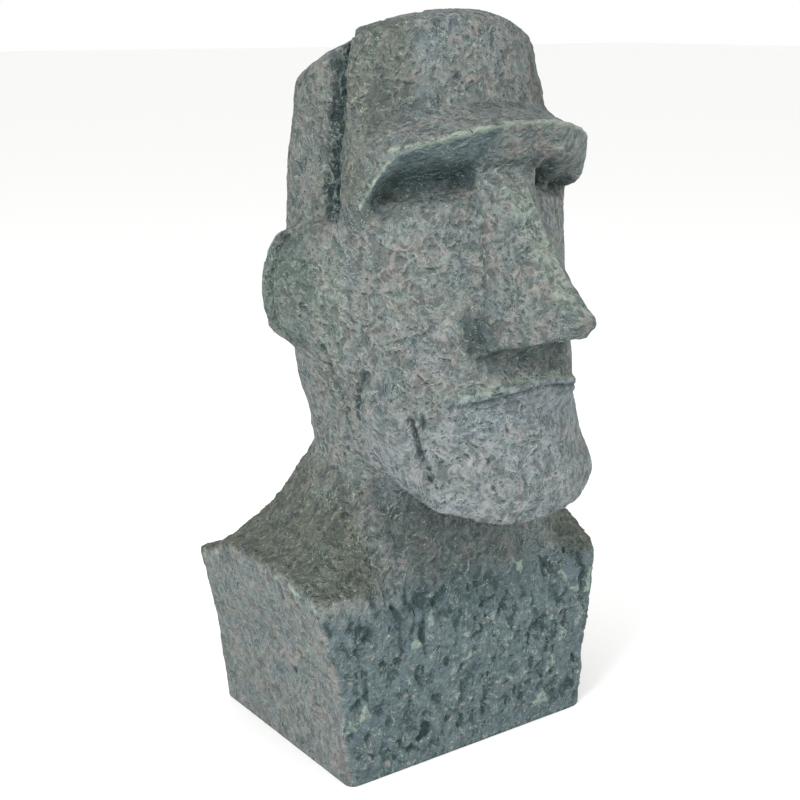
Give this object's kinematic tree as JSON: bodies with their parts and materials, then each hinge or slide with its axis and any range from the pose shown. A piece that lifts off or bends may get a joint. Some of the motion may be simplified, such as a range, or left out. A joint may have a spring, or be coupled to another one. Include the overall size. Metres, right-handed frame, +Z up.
{
  "type": "moai garden statue",
  "caption": "Long stylised stone head on a block-shaped torso with a flat underside, cast in one piece to stand in a garden or on a plinth.",
  "frame": {"origin": "centre of the flat underside of the torso", "axes": "+Z up, the height; the face looks along -Y; +X is the statue's left side"},
  "size_m": [0.2994, 0.3302, 0.6111],
  "materials": {
    "cast_stone": "matte"
  },
  "bodies": {
    "root": {"moai_statue": "cast_stone"}
  },
  "joints": []
}
